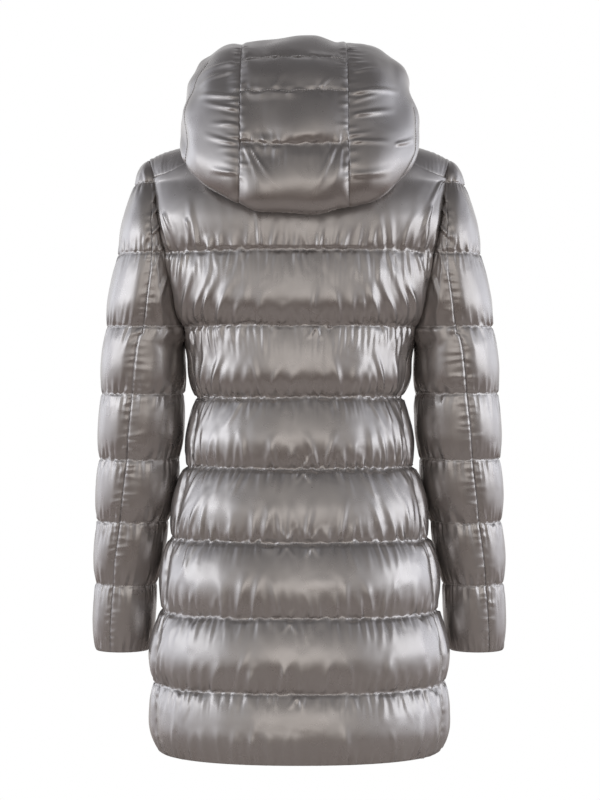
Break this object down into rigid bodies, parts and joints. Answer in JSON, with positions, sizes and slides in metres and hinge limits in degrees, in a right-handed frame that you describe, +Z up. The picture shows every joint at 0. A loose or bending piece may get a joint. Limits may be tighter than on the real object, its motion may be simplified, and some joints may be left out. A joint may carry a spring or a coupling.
{
  "type": "down jacket",
  "caption": "Women's hooded down jacket of thigh length with wide horizontal channels, a stand collar, two-piece sleeves, a front zip and a three-panel hood lying back.",
  "frame": {"origin": "on the middle line at the height of the neck and shoulders, between the front and the back, where the wearer's shoulders carry the jacket", "axes": "+X to the wearer's right, +Y out of the front, +Z up to the hood"},
  "size_m": [0.542, 0.3152, 0.917],
  "materials": {
    "shell": "satin",
    "zip_tape": "matt woven",
    "zip_metal": "satin"
  },
  "bodies": {
    "jacket": {"back": "shell", "front_left": "shell", "front_right": "shell", "sleeve_upper_left": "shell", "sleeve_upper_right": "shell", "sleeve_under_left": "shell", "sleeve_under_right": "shell", "collar": "shell", "hood_centre": "shell", "hood_side_left": "shell", "hood_side_right": "shell", "hood_band": "shell", "zip_tape_left": "zip_tape", "zip_tape_right": "zip_tape", "zip_slider": "zip_metal", "zip_box": "zip_metal"},
    "pull_tab": {"zip_pull_tab": "zip_metal"}
  },
  "joints": [
    {"name": "pull_tab_hinge", "type": "hinge", "parent": "jacket", "child": "pull_tab", "pos_m": [0, 0.07633, 0.02032], "axis": [1, 0, 0], "range_deg": [0, 140]}
  ]
}
